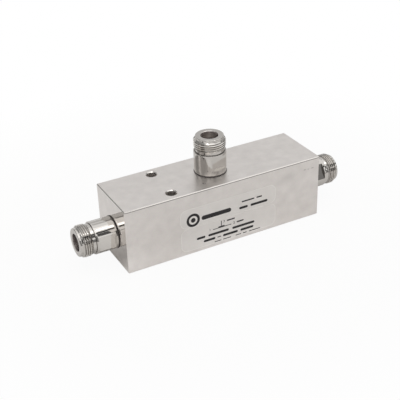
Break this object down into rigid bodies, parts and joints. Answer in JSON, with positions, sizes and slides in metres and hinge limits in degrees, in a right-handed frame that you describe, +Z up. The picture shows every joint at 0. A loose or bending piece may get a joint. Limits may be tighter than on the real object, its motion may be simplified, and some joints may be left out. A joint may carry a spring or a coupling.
{
  "type": "rf tapper",
  "caption": "Coaxial power tapper: a bored aluminium block with a threaded socket on each end, a tap socket on top and mounting holes.",
  "frame": {"origin": "centre of the block's bottom face, on the surface that the part stands on", "axes": "+X from the input socket to the through socket, +Y from the labelled front to the back, +Z up along the tap socket"},
  "size_m": [0.1456, 0.0325, 0.0525],
  "materials": {
    "housing_aluminium": "satin machined",
    "plated_brass": "bright plated, turned",
    "bead_plastic": "white, matt",
    "contact_metal": "silver plated",
    "seal_rubber": "matt black",
    "line_brass": "turned, bright",
    "label_foil": "satin foil"
  },
  "bodies": {
    "root": {"housing": "housing_aluminium", "input_shell": "plated_brass", "through_shell": "plated_brass", "tap_shell": "plated_brass", "input_sleeve": "plated_brass", "through_sleeve": "plated_brass", "tap_sleeve": "plated_brass", "input_bead": "bead_plastic", "through_bead": "bead_plastic", "tap_bead": "bead_plastic", "input_contact": "contact_metal", "through_contact": "contact_metal", "tap_contact": "contact_metal", "input_seal_ring": "seal_rubber", "through_seal_ring": "seal_rubber", "tap_seal_ring": "seal_rubber", "main_conductor": "line_brass", "tap_conductor": "line_brass", "upper_label": "label_foil", "lower_label": "label_foil"}
  },
  "joints": []
}
